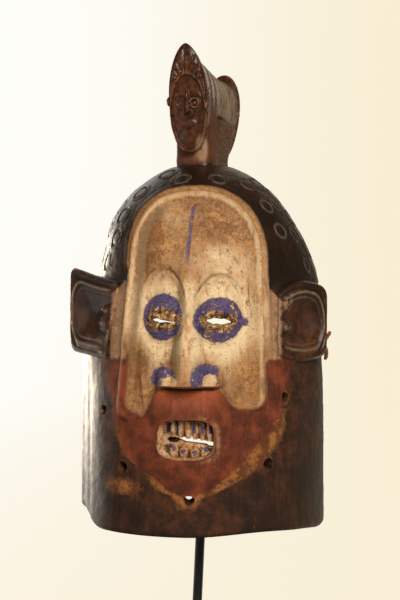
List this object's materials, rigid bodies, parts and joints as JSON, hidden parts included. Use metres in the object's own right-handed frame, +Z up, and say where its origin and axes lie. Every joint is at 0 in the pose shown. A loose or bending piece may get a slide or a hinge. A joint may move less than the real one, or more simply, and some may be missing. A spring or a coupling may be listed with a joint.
{
  "type": "carved helmet mask on stand",
  "caption": "Carved and painted wooden helmet mask, hollow and open at the back, with ears, slit eyes, bared teeth and a crest of heads set back to back, held up by a rod stand.",
  "frame": {"origin": "middle of the underside of the stand's base plate", "axes": "+Z up, -Y the way the mask looks, +X to the right of somebody who faces it"},
  "size_m": [0.2417, 0.2611, 0.5715],
  "materials": {
    "mask_wood": "dark glossy patina, with cream, brick red and blue paint worn through on the face",
    "black_steel": "satin black",
    "fibre": "dry twisted plant fibre"
  },
  "bodies": {
    "root": {"mask": "mask_wood", "stand_rod": "black_steel", "stand_base": "black_steel", "fibre_tie": "fibre"}
  },
  "joints": []
}
